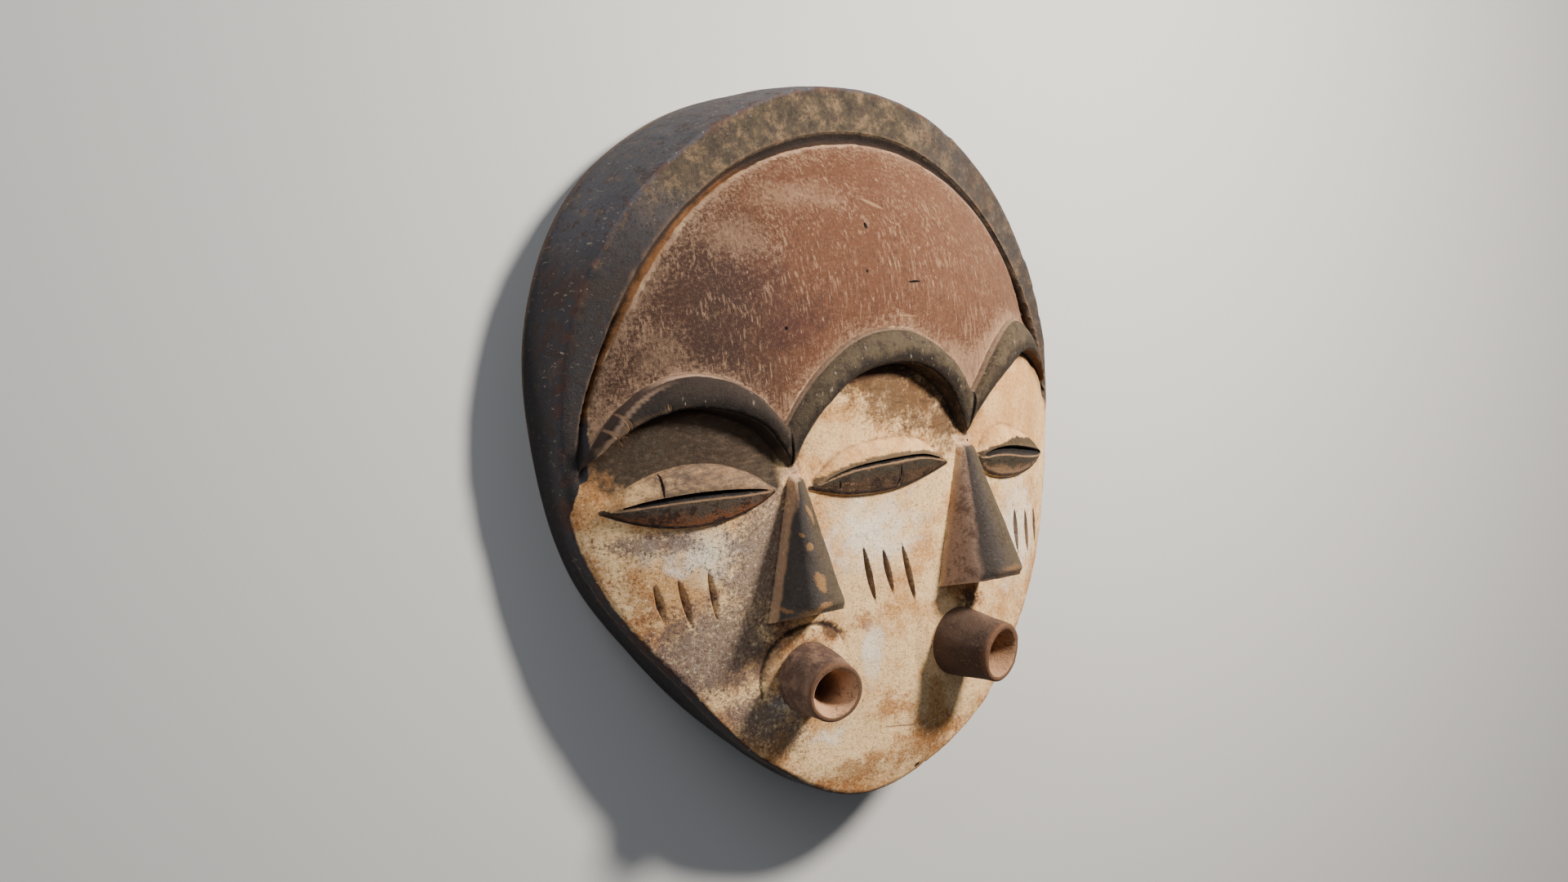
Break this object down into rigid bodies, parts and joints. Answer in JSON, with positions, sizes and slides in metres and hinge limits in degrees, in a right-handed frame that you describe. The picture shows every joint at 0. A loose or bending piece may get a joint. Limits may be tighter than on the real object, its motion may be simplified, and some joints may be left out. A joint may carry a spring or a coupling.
{
  "type": "carved wooden face mask",
  "caption": "Rounded wooden face mask with a raised band over the brow, arched eyes, wedge noses and tubular mouths, hollowed behind.",
  "frame": {"origin": "on the plane of the flat rim that the mask lies on, under the middle of its bounding box", "axes": "+Z out of the face, +Y towards the crown, +X towards the viewer's right as the face looks at them"},
  "size_m": [0.3136, 0.339, 0.0975],
  "materials": {
    "painted_wood": "matt earth pigments and kaolin on dark carved wood, worn at the edges"
  },
  "bodies": {
    "root": {"mask": "painted_wood"}
  },
  "joints": []
}
